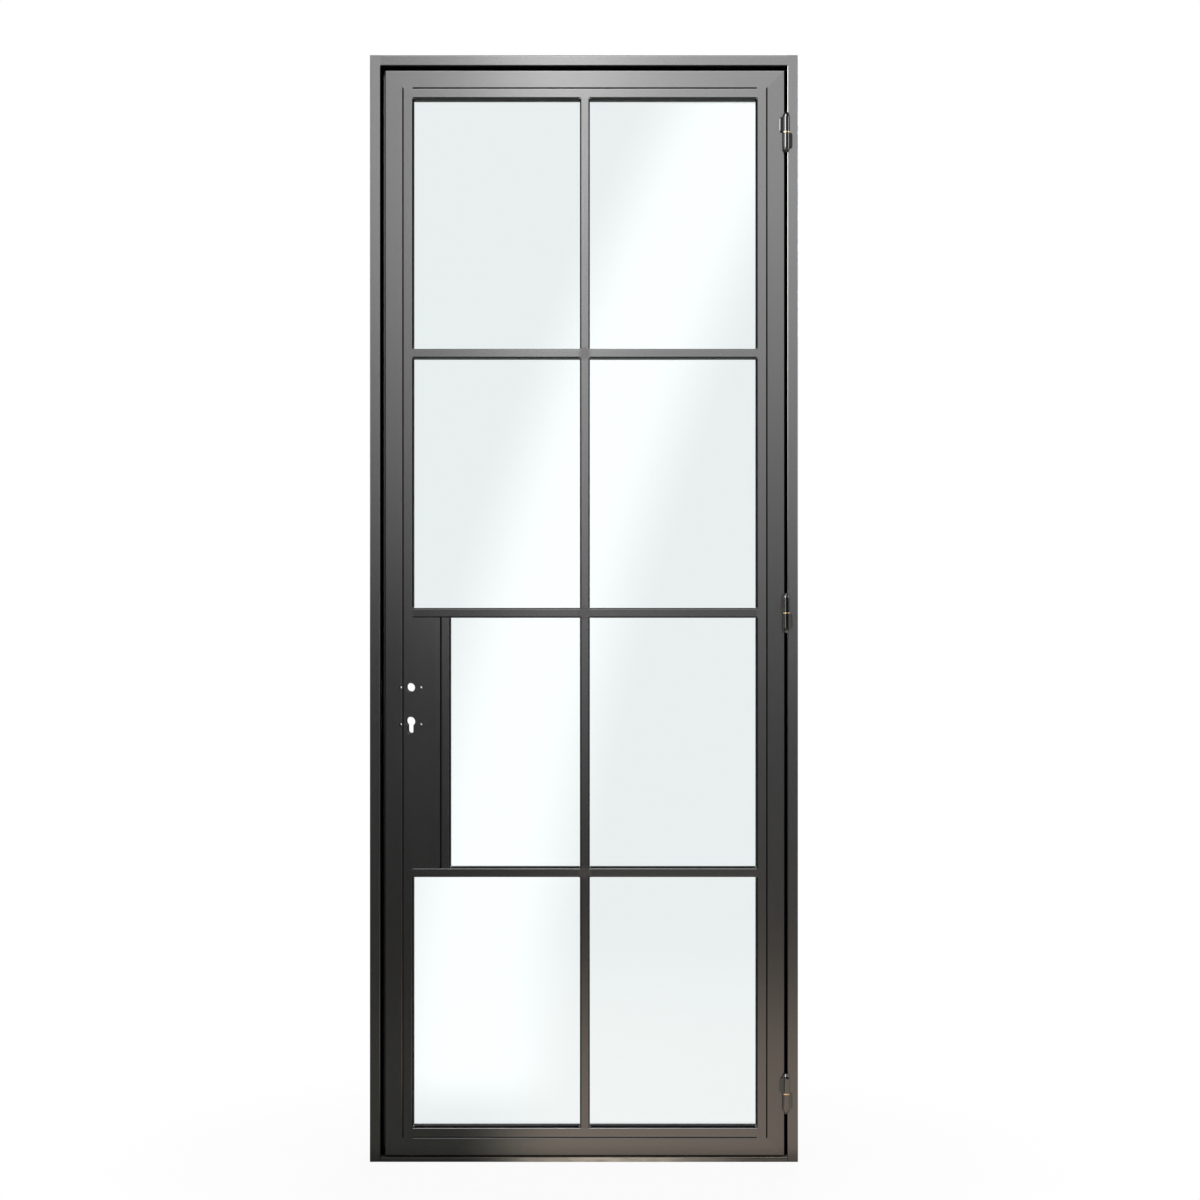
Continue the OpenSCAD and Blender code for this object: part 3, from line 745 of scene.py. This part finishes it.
def edge_panel_material():
    """The light along the hinge jamb's inner edge, bright at the top."""
    s = Shader("edge_panel")
    _, _, z = s.axes()
    s.glow(s.remap(z, EDGE_HEIGHTS, (0.0, EDGE_POWER), smooth=True), clear=True)
    return s.material


GLOW_PLAIN, GLOW_WARM = (1.0, 0.99, 0.84), (1.0, 0.83, 0.68)
GLOW_ACROSS, GLOW_POWER = (-0.30, -0.05), (0.17, 1.48)
GLOW_RIGHT, GLOW_EBB = (0.0, 0.5), (1.0, 0.82)
GLOW_ALONG = (-4.4, -0.9)
# Distances from the door's front between which the glow sinks to its level at the foot
GLOW_FAR, GLOW_NEAR, GLOW_FOOT = 0.155, 0.045, 0.5


def floor_glow_material():
    """The warm shine of the floor in the foot of the door, dim on its left and fading away from it."""
    s = Shader("floor_glow")
    x, y, _ = s.axes()
    across = s.remap(x, GLOW_ACROSS, GLOW_POWER, smooth=True)
    ebb = s.remap(x, GLOW_RIGHT, GLOW_EBB)
    along = s.remap(y, GLOW_ALONG, smooth=True)
    close = s.remap(y, (front_y - GLOW_FAR, front_y - GLOW_NEAR), (1.0, GLOW_FOOT), smooth=True)
    tint = s.mix(s.remap(x, GLOW_ACROSS, smooth=True), GLOW_PLAIN, GLOW_WARM)
    s.glow(s.times(across, ebb, along, close), tint=tint)
    return s.material


def stage_plane(name, corners, material):
    """A flat four-sided stage piece."""
    mesh = bpy.data.meshes.new(name)
    mesh.from_pydata(corners, [], [range(4)])
    mesh.materials.append(material)
    plane = bpy.data.objects.new(name, mesh)
    scene.collection.objects.link(plane)
    return plane


def gloss_plane(name, corners, material):
    """A stage piece that shows in reflections alone."""
    plane = stage_plane(name, corners, material)
    for kind in ("camera", "diffuse", "transmission", "shadow", "volume_scatter"):
        setattr(plane, f"visible_{kind}", False)
    return plane


def level_corners(x0, x1, y0, y1, z):
    """The corners of a level plane."""
    return [(x0, y0, z), (x1, y0, z), (x1, y1, z), (x0, y1, z)]


def upright_corners(start, end, low, high):
    """The corners of an upright plane over the line from start to end."""
    return [(*start, low), (*start, high), (*end, high), (*end, low)]


STREAK_SIDE, STREAK_GAP, STREAK_LOW, STREAK_HIGH = 0.9, 0.25, 0.005, 2.75
GLOW_X0, GLOW_X1, GLOW_Y0 = -1.5, 2.2, -4.5
GLOW_GAP, GLOW_LIFT = 2 * MM, 1 * MM
PANEL_SIDE, PANEL_Y, PANEL_LOW, PANEL_HIGH = 3.0, -4.0, 0.05, 7.0
HINGE_PANEL_START, HINGE_PANEL_END = (-2.3, -2.6), (-0.55, -3.85)
HINGE_PANEL_LOW, HINGE_PANEL_HIGH = 0.4, 5.0
EDGE_PANEL_START, EDGE_PANEL_END = (-3.0, -0.7), (-2.2, -2.3)
EDGE_PANEL_LOW, EDGE_PANEL_HIGH = 0.05, 5.0

stage_plane("floor", level_corners(-FLOOR_HALF, FLOOR_HALF, -FLOOR_HALF, FLOOR_HALF, 0), floor_material())
streak_y = front_y - STREAK_GAP
streak = gloss_plane(
    "streak_panel",
    upright_corners((-STREAK_SIDE, streak_y), (STREAK_SIDE, streak_y), STREAK_LOW, STREAK_HIGH),
    streak_material())
link_light(streak, panes, "INCLUDE")
gloss_plane("floor_glow", level_corners(GLOW_X0, GLOW_X1, GLOW_Y0, front_y - GLOW_GAP, GLOW_LIFT),
            floor_glow_material())
panel = gloss_plane(
    "graded_panel",
    upright_corners((-PANEL_SIDE, PANEL_Y), (PANEL_SIDE, PANEL_Y), PANEL_LOW, PANEL_HIGH),
    panel_material())
link_light(panel, panes + barrels, "EXCLUDE")
hinge_panel = gloss_plane(
    "hinge_panel",
    upright_corners(HINGE_PANEL_START, HINGE_PANEL_END, HINGE_PANEL_LOW, HINGE_PANEL_HIGH),
    hinge_panel_material())
link_light(hinge_panel, barrels, "INCLUDE")
edge_panel = gloss_plane(
    "edge_panel",
    upright_corners(EDGE_PANEL_START, EDGE_PANEL_END, EDGE_PANEL_LOW, EDGE_PANEL_HIGH),
    edge_panel_material())
link_light(edge_panel, [nodes["jamb_hinge_side"]], "INCLUDE")


# Camera

CAMERA_PLACE = (0.036, -5.65, 1.257)
LENS_MM, SENSOR_MM = 75.1, 36.0
camera_data = bpy.data.cameras.new("camera")
camera_data.lens, camera_data.sensor_width = LENS_MM, SENSOR_MM
camera = bpy.data.objects.new("camera", camera_data)
scene.collection.objects.link(camera)
camera.location = CAMERA_PLACE
camera.rotation_euler = (math.radians(90), 0, 0)
scene.camera = camera
scene.view_settings.view_transform = "Standard"
